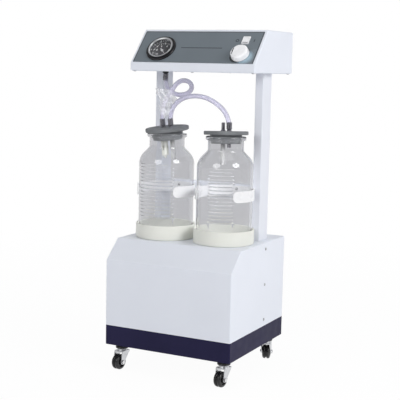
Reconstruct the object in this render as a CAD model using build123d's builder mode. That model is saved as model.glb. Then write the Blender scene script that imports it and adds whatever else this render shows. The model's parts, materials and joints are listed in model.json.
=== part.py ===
from build123d import *
import os
from math import cos, pi, radians, sin, tan

os.makedirs("parts", exist_ok=True)

# Electric suction pump on castors: a sheet-metal cabinet with the pump inside, two glass jars standing
# on its top, and a sloped control head carried over them by two columns.
# Millimetres, Z up, X to the right seen from the front, floor at Z = 0, origin under the middle.

# Cabinet and tray
cabinet_width = 360.0
cabinet_depth = 336.0
rear_overhang = 16.0
cabinet_top = 343.0
break_drop = 50.0
break_run = 55.0
cover_sheet = 1.5
tray_bottom = 68.0
tray_height = 52.0
tray_sheet = 2.0
tray_lip = 16.0
bend_radius = 3.0
seat_gap = 0.3

# Control head
head_width = 358.0
head_bottom = 782.0
head_height = 108.0
head_lip = 20.0
head_overhang = 107.0
head_slope = 48.5
head_sheet = 1.5
head_flange = 12.0
fascia_sheet = 1.0
fascia_margin = 7.0

# Columns and the bar between them
column_width = 23.0
column_depth = 55.0
column_wall = 1.8
column_corner = 3.0
column_inset = 33.0
column_setback = 210.0
column_insert = 18.0
crossbar_height = 36.0
crossbar_depth = 22.0
crossbar_sheet = 1.5

# Inner frame under the columns
portal_sheet = 2.0
portal_depth = 76.0
portal_flange = 14.0

# Rear panel
rear_opening_inset = 20.0
rear_opening_height = 176.0
rear_overlap = 12.0
rear_sheet = 1.2
louvre_rows = 6
louvre_pitch = 15.0
louvre_length = 92.0
louvre_spacing = 130.0
louvre_hood = 5.0

# Jars, cups and clips
jar_spacing = 172.0
jar_setback = 146.0
jar_radius = 73.0
jar_wall = 3.5
jar_base = 5.0
jar_neck_radius = 46.5
jar_lip_radius = 52.4
jar_shoulder = 209.0
jar_neck = 236.0
jar_lip = 263.0
jar_height = 273.0
jar_shoulder_round = 36.0
jar_foot_round = 9.0
cup_gap = 3.0
cup_wall = 3.2
cup_floor = 3.0
cup_height = 38.0
clip_gap = 2.4
clip_sheet = 1.6
clip_height = 29.0
clip_bottom = 110.0
clip_mouth = 84.0
clip_end_radius = 12.0

# Stoppers, hose fittings and what hangs from them
stopper_radius = 57.5
stopper_thick = 10.0
plug_radius = 41.0
plug_taper = 2.5
plug_depth = 22.0
stopper_lean = {"left": 6.5, "right": 3.5}
lean_heading = {"left": 230.0, "right": 125.0}
port_heading = {"left": 0.0, "right": -25.0}
port_spacing = 24.0
hose_bore = 9.2
hose_outer = 12.4
barb_length = 12.0
barb_ridges = 3
hose_straight = 20.0
bare_port_length = 18.0
flare_height = 4.0
flare_radius = 6.5
nipple_length = 10.0
fitting_bore = 5.0
running_gap = 0.05
dip_length = 54.0
cage_radius = 9.0
cage_wall = 1.8
cage_length = 42.0
float_gap = 0.3
float_length = 15.0

# Castors
wheel_radius = 20.0
wheel_width = 20.0
tread_groove_width = 4.4
tread_groove_depth = 3.0
castor_trail = 14.0
castor_inset_x = 31.0
castor_inset_y = 34.0
fork_sheet = 2.0
fork_clearance = 1.5
axle_radius = 3.0
bolt_head = 3.5
king_pin_radius = 4.0
cap_radius = 17.0
cap_height = 13.0
cap_rim = 4.0
race_radius = 15.0
race_height = 6.0
fork_plate = 2.5
stem_radius = 5.0
stem_height = 18.0
stem_nut_radius = 8.5
stem_nut_height = 7.0
castor_heading = {"front_left": -97.0, "front_right": -98.0, "rear_left": 100.0, "rear_right": 105.0}

# Controls on the sloped face, placed across and up the slope from its foot
gauge_place = (-104.0, 48.0)
gauge_flange_radius = 41.0
gauge_flange_thick = 4.0
gauge_case_radius = 33.0
gauge_case_depth = 34.0
gauge_well = 8.0
bezel_outer_radius = 35.0
bezel_inner_radius = 29.8
bezel_height = 3.5
window_radius = 32.0
window_thick = 1.5
dial_radius = 30.0
dial_thick = 1.0
needle_length = 23.0
needle_tail = 9.0
needle_zero = -45.0
knob_place = (129.0, 31.0)
knob_radius = 24.0
knob_height = 15.0
spindle_radius = 4.0
valve_radius = 13.0
valve_depth = 32.0
bushing_radius = 7.0
switch_place = (129.0, 80.0)
switch_width = 20.0
switch_length = 25.0
switch_rim = 2.5
rocker_width = 13.5
rocker_length = 19.0
rocker_tilt = 8.0

# Screws
screw_head_radius = 4.0
screw_head_height = 1.8
screw_radius = 2.0
screw_length = 6.0
cover_screw_inset = 17.0
clip_screw_rise = 6.0

# Hose connector under the head, power inlet and fuse holder
connector_place = (-104.0, -12.0)
connector_collar = 8.0
inlet_place = (-100.0, 166.0)
inlet_width = 28.0
inlet_height = 20.0
inlet_depth = 18.0
fuse_place = (-50.0, 166.0)
fuse_radius = 8.0

# Pump inside the cabinet
pump_setback = 100.0
pump_height = 92.0
motor_radius = 52.0
motor_length = 110.0
crankcase_radius = 40.0
crankcase_length = 34.0
cylinder_radius = 22.0
cylinder_height = 80.0
shaft_radius = 6.0
fan_radius = 40.0
fan_blades = 6
mount_radius = 11.0
mount_height = 20.0
pump_plate_width = 170.0
pump_plate_depth = 90.0
pump_plate_thick = 4.0
pump_foot_width = 12.0
pump_foot_depth = 60.0
pump_foot_spacing = 70.0

# Places worked out from the sizes above
overall_depth = cabinet_depth + rear_overhang
front_y = -overall_depth / 2
cabinet_rear = front_y + cabinet_depth
cabinet_middle = front_y + cabinet_depth / 2
tray_top = tray_bottom + tray_height
tray_floor = tray_bottom + tray_sheet
head_rear = overall_depth / 2
head_front = front_y + head_overhang
head_top = head_bottom + head_height
head_lip_top = head_bottom + head_lip
slope_run = (head_height - head_lip) / tan(radians(head_slope))
slope_length = (head_height - head_lip) / sin(radians(head_slope))
column_x = cabinet_width / 2 - column_inset
column_y = front_y + column_setback + column_depth / 2
column_inner = column_x - column_width / 2
rear_opening_width = cabinet_width - 2 * rear_opening_inset
portal_top = cabinet_top - column_insert
portal_front = column_y - portal_depth / 2
portal_half = cabinet_width / 2 - cover_sheet
jar_x = jar_spacing / 2
jar_y = front_y + jar_setback
jar_bottom = cabinet_top + cup_floor
lip_top = jar_bottom + jar_height
clip_radius = jar_radius + clip_gap
clip_middle = jar_bottom + clip_bottom + clip_height / 2
clip_screw_z = clip_middle + clip_screw_rise
crossbar_front = jar_y + clip_radius + clip_sheet + 0.2
pump_y = front_y + pump_setback
pump_axis = tray_floor + pump_height
sides = {"left": -1, "right": 1}
corners = {
    "front_left": (-1, -1),
    "front_right": (1, -1),
    "rear_left": (-1, 1),
    "rear_right": (1, 1),
}
castor_places = {
    name: (
        side_x * (cabinet_width / 2 - castor_inset_x),
        cabinet_middle + side_y * (cabinet_depth / 2 - castor_inset_y),
    )
    for name, (side_x, side_y) in corners.items()
}


def save(part, name):
    part.label = name
    export_step(part, f"parts/{name}.step")


def upright(x, y, z):
    return Plane(origin=(x, y, z), x_dir=(1, 0, 0), z_dir=(0, 0, 1))


def facing_front(y):
    # A plane seen from the front: local x is X and local y is Z.
    return Plane(origin=(0, y, 0), x_dir=(1, 0, 0), z_dir=(0, -1, 0))


def section(base):
    # The plane through a base plane's axis: local x is the radius and local y runs along the axis.
    return Plane(origin=base.origin, x_dir=base.x_dir, z_dir=base.y_dir * -1)


def axis_of(base):
    return Axis(base.origin, base.z_dir)


def moved(base, x, y, z=0):
    # The base plane carried to a point given in its own coordinates.
    return Plane(origin=base.from_local_coords((x, y, z)), x_dir=base.x_dir, z_dir=base.z_dir)


def spun(base, angle):
    # The base plane turned about its own axis.
    return Plane(base.location * Location((0, 0, 0), (0, 0, angle)))


def turned(base, outline, radii=None, mode=Mode.ADD):
    # Adds a turned shape: an outline of (radius, height) points, revolved about the base plane's axis.
    with BuildSketch(section(base)) as profile:
        with BuildLine():
            if radii:
                FilletPolyline(*outline, radius=radii)
                Line(outline[-1], outline[0])
            else:
                Polyline(*outline, close=True)
        make_face()
    revolve(profile.sketch, axis=axis_of(base), mode=mode)


def screw(base):
    # A pan-head screw whose head seats on the base plane.
    head = screw_head_height
    outline = [
        (0, -screw_length),
        (screw_radius, -screw_length),
        (screw_radius, 0),
        (screw_head_radius, 0),
        (screw_head_radius, head * 0.4),
        (screw_head_radius * 0.6, head),
        (0, head),
    ]
    turned(base, outline)


# Tray: a folded pan with a lip round its mouth, on which the cover stands
with BuildPart() as base_tray:
    with BuildSketch(Plane.XY.offset(tray_bottom)):
        with Locations((0, cabinet_middle)):
            RectangleRounded(cabinet_width, cabinet_depth, bend_radius)
    extrude(amount=tray_height)
    fillet(base_tray.faces().sort_by(Axis.Z)[0].edges(), radius=bend_radius * 0.6)
    with BuildSketch(Plane.XY.offset(tray_floor)):
        with Locations((0, cabinet_middle)):
            Rectangle(cabinet_width - 2 * tray_sheet, cabinet_depth - 2 * tray_sheet)
    extrude(amount=tray_height - 2 * tray_sheet, mode=Mode.SUBTRACT)
    with BuildSketch(Plane.XY.offset(tray_top)):
        with Locations((0, cabinet_middle)):
            Rectangle(cabinet_width - 2 * tray_lip, cabinet_depth - 2 * tray_lip)
    extrude(amount=-2 * tray_sheet, mode=Mode.SUBTRACT)
    with BuildSketch(Plane.XY.offset(tray_bottom)):
        with Locations(*castor_places.values()):
            Circle(stem_radius + running_gap)
    extrude(amount=tray_sheet, mode=Mode.SUBTRACT)
save(base_tray.part, "base_tray")

# Castors: a stem nutted through the tray, a fork that swivels on it, and a wheel on a bolt
fork_top = tray_bottom - cap_height - seat_gap
bridge_top = fork_top - race_height
bridge_bottom = bridge_top - fork_plate
fork_gap = wheel_width / 2 + fork_clearance
fork_half = fork_gap + fork_sheet
hub_half = fork_gap - seat_gap
bore_radius = axle_radius + running_gap

with BuildPart() as castor_stems:
    for place in castor_places.values():
        stem_outline = [
            (0, bridge_bottom - seat_gap - 2.0),
            (king_pin_radius + 2, bridge_bottom - seat_gap - 1.6),
            (king_pin_radius + 2, bridge_bottom - seat_gap),
            (king_pin_radius, bridge_bottom - seat_gap),
            (king_pin_radius, fork_top + seat_gap),
            (cap_radius, fork_top + seat_gap),
            (cap_radius, fork_top + seat_gap + cap_rim),
            (cap_radius - 5, tray_bottom),
            (stem_radius, tray_bottom),
            (stem_radius, tray_bottom + stem_height),
            (0, tray_bottom + stem_height),
        ]
        turned(upright(*place, 0), stem_outline, [0.3, 0.3, 0.3, 0.3, 1.0, 5.0, 0.3, 0.05, 0.6])
save(castor_stems.part, "castor_stems")

with BuildPart() as castor_nuts:
    with BuildSketch(Plane.XY.offset(tray_floor)):
        with Locations(*castor_places.values()):
            RegularPolygon(stem_nut_radius, 6)
            Circle(stem_radius + running_gap, mode=Mode.SUBTRACT)
    extrude(amount=stem_nut_height)
save(castor_nuts.part, "castor_nuts")

for name, place in castor_places.items():
    heading = radians(castor_heading[name])
    swivel = Plane(origin=(*place, 0), x_dir=(cos(heading), sin(heading), 0), z_dir=(0, 0, 1))
    flank = section(swivel)
    hub = Plane(
        origin=swivel.from_local_coords((castor_trail, 0, wheel_radius)),
        x_dir=swivel.x_dir,
        z_dir=swivel.y_dir,
    )

    with BuildPart() as fork:
        with BuildSketch(flank):
            with Locations((0, bridge_bottom)):
                Rectangle(2 * race_radius, fork_plate, align=(Align.CENTER, Align.MIN))
            with Locations((castor_trail, wheel_radius)):
                Circle(axle_radius + 3.5)
            make_hull()
        extrude(amount=fork_half, both=True)
        with BuildSketch(flank):
            with Locations((0, bridge_bottom)):
                Rectangle(6 * wheel_radius, 3 * wheel_radius, align=(Align.CENTER, Align.MAX))
        extrude(amount=fork_gap, both=True, mode=Mode.SUBTRACT)
        with BuildSketch(swivel.offset(bridge_top)):
            Circle(race_radius - 1)
        extrude(amount=race_height, taper=14)
        with BuildSketch(swivel.offset(bridge_bottom)):
            Circle(king_pin_radius + running_gap)
        extrude(amount=race_height + fork_plate, mode=Mode.SUBTRACT)
        with BuildSketch(hub):
            Circle(bore_radius)
        extrude(amount=2 * fork_half, both=True, mode=Mode.SUBTRACT)
    save(fork.part, f"castor_fork_{name}")

    with BuildPart() as axle:
        with BuildSketch(hub):
            Circle(axle_radius)
        extrude(amount=fork_half + bolt_head, both=True)
        with BuildSketch(hub.offset(fork_half)):
            RegularPolygon(axle_radius + 2.6, 6)
        extrude(amount=bolt_head)
        with BuildSketch(hub.offset(-fork_half)):
            RegularPolygon(axle_radius + 2.6, 6)
        extrude(amount=-bolt_head)
    save(axle.part, f"castor_axle_{name}")

    # Wheel: dished web, and a tread of two rounded ribs with a groove between them
    tread = wheel_width / 2
    groove_half = tread_groove_width / 2
    wheel_outline = [
        (bore_radius, -hub_half),
        (bore_radius + 4, -hub_half),
        (bore_radius + 5, 3.5 - tread),
        (wheel_radius - 9, 3.5 - tread),
        (wheel_radius - 7, -tread),
        (wheel_radius, -tread),
        (wheel_radius, -groove_half),
        (wheel_radius - tread_groove_depth, 1.0 - groove_half),
        (wheel_radius - tread_groove_depth, groove_half - 1.0),
        (wheel_radius, groove_half),
        (wheel_radius, tread),
        (wheel_radius - 7, tread),
        (wheel_radius - 9, tread - 3.5),
        (bore_radius + 5, tread - 3.5),
        (bore_radius + 4, hub_half),
        (bore_radius, hub_half),
    ]
    wheel_rounds = [0.4, 0.4, 0.6, 0.6, 5.0, 2.0, 0.8, 0.8, 2.0, 5.0, 0.6, 0.6, 0.4, 0.4]
    with BuildPart() as wheel:
        turned(hub, wheel_outline, wheel_rounds)
    save(wheel.part, f"castor_wheel_{name}")

# Inner frame: a folded and flanged portal that stands on the tray's lip and carries the columns
cover_screw_rows = (
    tray_top + cover_screw_inset,
    (tray_top + cabinet_top) / 2,
    cabinet_top - cover_screw_inset,
)
cover_screw_y = portal_front + portal_flange / 2
with BuildPart() as inner_frame:
    for inset, depth in ((portal_sheet, portal_depth), (portal_flange, portal_sheet)):
        with BuildSketch(facing_front(portal_front)):
            with Locations((0, tray_top)):
                Rectangle(2 * portal_half, portal_top - tray_top, align=(Align.CENTER, Align.MIN))
                Rectangle(
                    2 * (portal_half - inset),
                    portal_top - inset - tray_top,
                    align=(Align.CENTER, Align.MIN),
                    mode=Mode.SUBTRACT,
                )
        extrude(amount=-depth)
    with BuildSketch(Plane.XY.offset(tray_top)):
        with Locations((0, portal_front + portal_depth / 2)):
            Rectangle(2 * portal_half, portal_depth)
            Rectangle(2 * (portal_half - portal_flange), portal_depth, mode=Mode.SUBTRACT)
    extrude(amount=portal_sheet)
    with BuildSketch(Plane.YZ):
        with Locations(*[(cover_screw_y, z) for z in cover_screw_rows]):
            Circle(screw_radius + running_gap)
    extrude(amount=portal_half, both=True, mode=Mode.SUBTRACT)
save(inner_frame.part, "inner_frame")

# Cabinet cover: a folded box with a slanted front edge, open below and windowed behind
rear_screw_x = rear_opening_width / 2 + rear_overlap / 2
rear_screw_z = rear_opening_height / 2 - 12
rear_middle = tray_top + (cabinet_top - tray_top) / 2

with BuildPart() as cabinet_cover:
    with BuildSketch(Plane.YZ):
        with BuildLine():
            Polyline(
                (front_y, tray_top),
                (front_y, cabinet_top - break_drop),
                (front_y + break_run, cabinet_top),
                (cabinet_rear, cabinet_top),
                (cabinet_rear, tray_top),
                close=True,
            )
        make_face()
    extrude(amount=cabinet_width / 2, both=True)
    mouth = cabinet_cover.faces().sort_by(Axis.Z)[0]
    fillet(cabinet_cover.edges() - mouth.edges(), radius=bend_radius)
    offset(amount=-cover_sheet, openings=cabinet_cover.faces().sort_by(Axis.Z)[0])
    with BuildSketch(facing_front(cabinet_rear)):
        with Locations((0, rear_middle)):
            Rectangle(rear_opening_width, rear_opening_height)
            with GridLocations(2 * rear_screw_x, 2 * rear_screw_z, 2, 2):
                Circle(screw_radius + running_gap)
    extrude(amount=cover_sheet, mode=Mode.SUBTRACT)
    with BuildSketch(Plane.XY.offset(cabinet_top)):
        with Locations((-column_x, column_y), (column_x, column_y)):
            Rectangle(column_width + seat_gap, column_depth + seat_gap)
    extrude(amount=-cover_sheet, mode=Mode.SUBTRACT)
    with BuildSketch(Plane.YZ):
        with Locations(*[(cover_screw_y, z) for z in cover_screw_rows]):
            Circle(screw_radius + running_gap)
    extrude(amount=cabinet_width, both=True, mode=Mode.SUBTRACT)
save(cabinet_cover.part, "cabinet_cover")

# Rear panel: a screwed plate with two banks of pressed louvres and cut-outs for the inlet and fuse
panel_outer = cabinet_rear + rear_sheet
with BuildPart() as rear_panel:
    with BuildSketch(facing_front(cabinet_rear)):
        with Locations((0, rear_middle)):
            RectangleRounded(
                rear_opening_width + 2 * rear_overlap, rear_opening_height + 2 * rear_overlap, 4
            )
            with GridLocations(2 * rear_screw_x, 2 * rear_screw_z, 2, 2):
                Circle(screw_radius + running_gap, mode=Mode.SUBTRACT)
        with Locations(inlet_place):
            Rectangle(inlet_width + seat_gap, inlet_height + seat_gap, mode=Mode.SUBTRACT)
        with Locations(fuse_place):
            Circle(fuse_radius + seat_gap, mode=Mode.SUBTRACT)
    extrude(amount=-rear_sheet)
    for bank in (-1, 1):
        for row in range(louvre_rows):
            slot_z = rear_middle + 10 + (row - 1) * louvre_pitch
            for reach, length, mode in (
                (louvre_hood, louvre_length, Mode.ADD),
                (louvre_hood - rear_sheet, louvre_length - 2 * rear_sheet, Mode.SUBTRACT),
            ):
                with BuildSketch(Plane.YZ.offset(bank * louvre_spacing / 2)):
                    with Locations((panel_outer, slot_z)):
                        Circle(reach)
                    with Locations((cabinet_rear, slot_z)):
                        Rectangle(
                            rear_sheet + reach,
                            reach,
                            align=(Align.MIN, Align.MIN),
                            mode=Mode.INTERSECT,
                        )
                extrude(amount=length / 2, both=True, mode=mode)
save(rear_panel.part, "rear_panel")

# Mains inlet: a shrouded socket with three flat pins
inlet_plane = Plane(origin=(inlet_place[0], panel_outer, inlet_place[1]), x_dir=(-1, 0, 0), z_dir=(0, 1, 0))
inlet_recess = 15.0
with BuildPart() as power_inlet:
    with BuildSketch(inlet_plane):
        RectangleRounded(inlet_width + 8, inlet_height + 6, 3)
    extrude(amount=2)
    with BuildSketch(inlet_plane):
        Rectangle(inlet_width, inlet_height)
    extrude(amount=-inlet_depth)
    with BuildSketch(inlet_plane.offset(2)):
        RectangleRounded(inlet_width - 3.5, inlet_height - 3.5, 3)
    extrude(amount=-inlet_recess, mode=Mode.SUBTRACT)
    with BuildSketch(inlet_plane.offset(2 - inlet_recess)):
        with Locations((-7, -1), (7, -1), (0, -4)):
            Rectangle(4, 2)
    extrude(amount=inlet_recess - 3)
save(power_inlet.part, "power_inlet")

fuse_plane = Plane(origin=(fuse_place[0], panel_outer, fuse_place[1]), x_dir=(-1, 0, 0), z_dir=(0, 1, 0))
with BuildPart() as fuse_holder:
    fuse_outline = [
        (0, -22),
        (fuse_radius, -22),
        (fuse_radius, 0),
        (fuse_radius + 2.5, 0),
        (fuse_radius + 2.5, 1.5),
        (fuse_radius - 1, 2.5),
        (fuse_radius - 1.5, 8),
        (0, 8),
    ]
    turned(fuse_plane, fuse_outline)
    with BuildSketch(fuse_plane.offset(8)):
        Rectangle(2 * fuse_radius, 1.6)
    extrude(amount=-2, mode=Mode.SUBTRACT)
save(fuse_holder.part, "fuse_holder")

# Columns: rectangular tubes from the inner frame up into the head
for side, sign in sides.items():
    with BuildPart() as column:
        with BuildSketch(Plane.XY.offset(portal_top)):
            with Locations((sign * column_x, column_y)):
                RectangleRounded(column_width, column_depth, column_corner)
                RectangleRounded(
                    column_width - 2 * column_wall,
                    column_depth - 2 * column_wall,
                    column_corner - column_wall,
                    mode=Mode.SUBTRACT,
                )
        extrude(amount=head_bottom + column_insert - portal_top)
    save(column.part, f"{side}_column")

# Crossbar: a channel welded between the columns, to which the jar clips are screwed
with BuildPart() as crossbar:
    with BuildSketch(Plane.YZ):
        with Locations((crossbar_front, clip_middle)):
            Rectangle(crossbar_depth, crossbar_height, align=(Align.MIN, Align.CENTER))
        with Locations((crossbar_front + crossbar_sheet, clip_middle)):
            Rectangle(
                crossbar_depth,
                crossbar_height - 2 * crossbar_sheet,
                align=(Align.MIN, Align.CENTER),
                mode=Mode.SUBTRACT,
            )
    extrude(amount=column_inner, both=True)
    with BuildSketch(facing_front(crossbar_front)):
        with Locations((-jar_x, clip_screw_z), (jar_x, clip_screw_z)):
            Circle(screw_radius + running_gap)
    extrude(amount=-2 * crossbar_sheet, mode=Mode.SUBTRACT)
save(crossbar.part, "jar_crossbar")

# Jar clips: sprung bands open to the front, with rounded ends
for side, sign in sides.items():
    clip_base = upright(sign * jar_x, jar_y, clip_middle)
    clip_outer = clip_radius + clip_sheet
    with BuildPart() as clip:
        with BuildSketch(clip_base.offset(-clip_height / 2)):
            Circle(clip_outer)
            Circle(clip_radius, mode=Mode.SUBTRACT)
            with BuildLine():
                reach = 2 * clip_outer
                half_mouth = radians(clip_mouth / 2)
                Polyline(
                    (0, 0),
                    (-reach * sin(half_mouth), -reach * cos(half_mouth)),
                    (reach * sin(half_mouth), -reach * cos(half_mouth)),
                    close=True,
                )
            make_face(mode=Mode.SUBTRACT)
        extrude(amount=clip_height)
        ends = clip.edges().filter_by(
            lambda edge: abs(edge.length - clip_sheet) < 0.01 and edge.center().Y < jar_y
        )
        fillet(ends, radius=clip_end_radius)
        with BuildSketch(facing_front(jar_y)):
            with Locations((sign * jar_x, clip_screw_z)):
                Circle(screw_radius + running_gap)
        extrude(amount=-2 * clip_outer, mode=Mode.SUBTRACT)
    save(clip.part, f"jar_clip_{side}")

# Cups that hold the jars' feet, and the jars
for side, sign in sides.items():
    cup_inner = jar_radius + cup_gap
    cup_outer = cup_inner + cup_wall
    with BuildPart() as cup:
        cup_outline = [
            (0, 0),
            (cup_outer, 0),
            (cup_outer, cup_height),
            (cup_inner, cup_height),
            (cup_inner, cup_floor),
            (0, cup_floor),
        ]
        turned(upright(sign * jar_x, jar_y, cabinet_top), cup_outline, [3.0, 1.4, 1.4, 2.0])
    save(cup.part, f"cup_{side}")

    mouth_radius = jar_neck_radius - jar_wall
    jar_outline = [
        (0, 0),
        (jar_radius, 0),
        (jar_radius, jar_shoulder),
        (jar_neck_radius, jar_neck),
        (jar_neck_radius, jar_lip),
        (jar_lip_radius, jar_lip),
        (jar_lip_radius, jar_height),
        (mouth_radius, jar_height),
        (mouth_radius, jar_neck - jar_wall * 0.4),
        (jar_radius - jar_wall, jar_shoulder - jar_wall * 0.4),
        (jar_radius - jar_wall, jar_base),
        (0, jar_base),
    ]
    with BuildPart() as jar:
        turned(
            upright(sign * jar_x, jar_y, jar_bottom),
            jar_outline,
            [
                jar_foot_round,
                jar_shoulder_round,
                6.0,
                1.5,
                3.0,
                3.0,
                1.0,
                8.0,
                jar_shoulder_round - jar_wall,
                jar_foot_round - 2.0,
            ],
        )
    save(jar.part, f"jar_{side}")

# Stoppers: rubber discs with a tapered plug, each a little askew on its jar's lip, with their fittings
stopper_planes = {}
for side, sign in sides.items():
    lean = radians(stopper_lean[side])
    toward = radians(lean_heading[side])
    ports = radians(port_heading[side])
    axis = Vector(sin(lean) * cos(toward), sin(lean) * sin(toward), cos(lean))
    across = Vector(cos(ports), sin(ports), 0)
    across = (across - axis * across.dot(axis)).normalized()
    seat = lip_top + seat_gap + (jar_lip_radius - 2) * sin(lean)
    stopper_planes[side] = Plane(origin=(sign * jar_x, jar_y, seat), x_dir=across, z_dir=axis)

for side, seat in stopper_planes.items():
    with BuildPart() as stopper:
        stopper_outline = [
            (0, -plug_depth),
            (plug_radius - plug_taper, -plug_depth),
            (plug_radius, 0),
            (stopper_radius, 0),
            (stopper_radius, stopper_thick),
            (0, stopper_thick),
        ]
        turned(seat, stopper_outline, [2.0, 0.5, 2.5, 2.5])
        with BuildSketch(seat.offset(stopper_thick)):
            with Locations((-port_spacing / 2, 0), (port_spacing / 2, 0)):
                Circle(fitting_bore + running_gap)
        extrude(amount=-(stopper_thick + plug_depth), mode=Mode.SUBTRACT)
    save(stopper.part, f"stopper_{side}")

barb_radius = hose_bore / 2 - running_gap
barb_foot = stopper_thick + flare_height
barb_tip = barb_foot + barb_length
bare_port_tip = barb_foot + bare_port_length
fitting_foot = -plug_depth - nipple_length


def fitting(base, ridged):
    # A hose fitting through the stopper: a nipple below, a flare that seats on top and a barb above.
    outline = [
        (port_radius, fitting_foot),
        (barb_radius, fitting_foot),
        (barb_radius, -plug_depth),
        (fitting_bore, -plug_depth),
        (fitting_bore, stopper_thick),
        (flare_radius, stopper_thick),
        (flare_radius, stopper_thick + 1.5),
        (barb_radius, barb_foot),
    ]
    if ridged:
        step = barb_length / barb_ridges
        for ridge in range(barb_ridges):
            foot = barb_foot + ridge * step
            outline.append((barb_radius - 0.8, foot + 0.5))
            outline.append((barb_radius, foot + 0.45 * step))
            outline.append((barb_radius - 0.8, foot + step))
        outline.append((port_radius, barb_tip))
    else:
        outline.append((barb_radius, bare_port_tip - 1))
        outline.append((barb_radius - 1, bare_port_tip))
        outline.append((port_radius, bare_port_tip))
    turned(base, outline)


port_radius = 2.8
for side, seat in stopper_planes.items():
    with BuildPart() as fittings:
        for port in (-1, 1):
            hose_end = side == "left" or port == 1
            fitting(moved(seat, port * port_spacing / 2, 0), hose_end)
    save(fittings.part, f"hose_fittings_{side}")

# Dip tubes on the fittings' nipples: the link side of the left jar, the suction side of the right jar
for side, port in (("left", 1), ("right", -1)):
    tube_base = moved(stopper_planes[side], port * port_spacing / 2, 0, -plug_depth - 0.5)
    with BuildPart() as dip_tube:
        with BuildSketch(tube_base):
            Circle(hose_outer / 2)
            Circle(hose_bore / 2, mode=Mode.SUBTRACT)
        extrude(amount=-dip_length)
    save(dip_tube.part, f"dip_tube_{side}")

# Overflow valve in the left jar: a slotted cage on the vacuum nipple, and the float that shuts it
cage_base = moved(stopper_planes["left"], -port_spacing / 2, 0, -plug_depth - 0.5)
cage_bore = cage_radius - cage_wall
cage_cap = nipple_length + 1
float_radius = cage_bore - float_gap
stem_bore = 3.5
float_rest = -cage_length + cage_wall + 0.1
with BuildPart() as float_cage:
    cage_outline = [
        (hose_bore / 2, 0),
        (cage_radius - 1, 0),
        (cage_radius, -1),
        (cage_radius, -cage_length),
        (stem_bore, -cage_length),
        (stem_bore, -cage_length + cage_wall),
        (cage_bore, -cage_length + cage_wall),
        (cage_bore, -cage_cap),
        (hose_bore / 2, -cage_cap),
    ]
    turned(cage_base, cage_outline)
    window_height = cage_length - cage_cap - 8
    for turn in (0, 90):
        window_plane = section(spun(cage_base, turn))
        with BuildSketch(window_plane):
            with Locations((0, -cage_length + cage_wall + 2)):
                Rectangle(5, window_height, align=(Align.CENTER, Align.MIN))
        extrude(amount=2 * cage_radius, both=True, mode=Mode.SUBTRACT)
save(float_cage.part, "float_cage")

with BuildPart() as float_body:
    float_outline = [
        (0, float_rest - 8),
        (stem_bore - float_gap, float_rest - 8),
        (stem_bore - float_gap, float_rest),
        (float_radius, float_rest),
        (float_radius, float_rest + float_length - 4),
        (2, float_rest + float_length),
        (0, float_rest + float_length),
    ]
    turned(cage_base, float_outline)
save(float_body.part, "overflow_float")

# Head: a folded wedge-fronted case with a flange round its open bottom, and its base plate
slope = Plane(
    origin=(0, head_front, head_lip_top),
    x_dir=(1, 0, 0),
    z_dir=(0, -sin(radians(head_slope)), cos(radians(head_slope))),
)
gauge_base = moved(slope, *gauge_place)
knob_base = moved(slope, *knob_place)
switch_base = moved(slope, *switch_place)
plate_middle = (head_front + head_rear) / 2
head_screw_x = head_width / 2 - head_flange / 2 - 3
head_screw_y = (head_rear - head_front) / 2 - head_flange / 2 - 3

with BuildPart() as head_shell:
    with BuildSketch(Plane.YZ):
        with BuildLine():
            Polyline(
                (head_front, head_bottom),
                (head_front, head_lip_top),
                (head_front + slope_run, head_top),
                (head_rear, head_top),
                (head_rear, head_bottom),
                close=True,
            )
        make_face()
    extrude(amount=head_width / 2, both=True)
    floor = head_shell.faces().sort_by(Axis.Z)[0]
    fillet(head_shell.edges() - floor.edges(), radius=bend_radius)
    offset(amount=-head_sheet, openings=head_shell.faces().sort_by(Axis.Z)[0])
    with BuildSketch(Plane.XY.offset(head_bottom)):
        with Locations((0, plate_middle)):
            Rectangle(head_width - head_sheet, head_rear - head_front - head_sheet)
            Rectangle(
                head_width - 2 * head_flange,
                head_rear - head_front - 2 * head_flange,
                mode=Mode.SUBTRACT,
            )
    extrude(amount=head_sheet)
    with BuildSketch(Plane.XY.offset(head_bottom)):
        with Locations((0, plate_middle)):
            with GridLocations(head_screw_x, 2 * head_screw_y, 3, 2):
                Circle(screw_radius + running_gap)
    extrude(amount=head_sheet, mode=Mode.SUBTRACT)
    with BuildSketch(slope):
        with Locations(gauge_place):
            Circle(gauge_case_radius + seat_gap)
        with Locations(knob_place):
            Circle(bushing_radius + seat_gap)
        with Locations(switch_place):
            Rectangle(switch_width - 2 * switch_rim + 1, switch_length - 2 * switch_rim + 1)
    extrude(amount=-2 * head_sheet, mode=Mode.SUBTRACT)
save(head_shell.part, "head_shell")

plate_width = head_width - 6
plate_depth = head_rear - head_front - 6
with BuildPart() as head_plate:
    with BuildSketch(Plane.XY.offset(head_bottom)):
        with Locations((0, plate_middle)):
            RectangleRounded(plate_width, plate_depth, 2)
            with GridLocations(head_screw_x, 2 * head_screw_y, 3, 2):
                Circle(screw_radius + running_gap, mode=Mode.SUBTRACT)
        with Locations((-column_x, column_y), (column_x, column_y)):
            Rectangle(column_width + seat_gap, column_depth + seat_gap, mode=Mode.SUBTRACT)
        with Locations(connector_place):
            Circle(fitting_bore + running_gap, mode=Mode.SUBTRACT)
    extrude(amount=-head_sheet)
save(head_plate.part, "head_base_plate")

with BuildPart() as fascia:
    with BuildSketch(slope):
        with Locations((0, slope_length / 2 - 2.5)):
            RectangleRounded(head_width - 2 * fascia_margin, slope_length - 9, 1.5)
        with Locations(gauge_place):
            Circle(gauge_case_radius + seat_gap, mode=Mode.SUBTRACT)
        with Locations(knob_place):
            Circle(bushing_radius + seat_gap, mode=Mode.SUBTRACT)
        with Locations(switch_place):
            Rectangle(
                switch_width - 2 * switch_rim + 1,
                switch_length - 2 * switch_rim + 1,
                mode=Mode.SUBTRACT,
            )
    extrude(amount=fascia_sheet)
save(fascia.part, "control_fascia")

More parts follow.
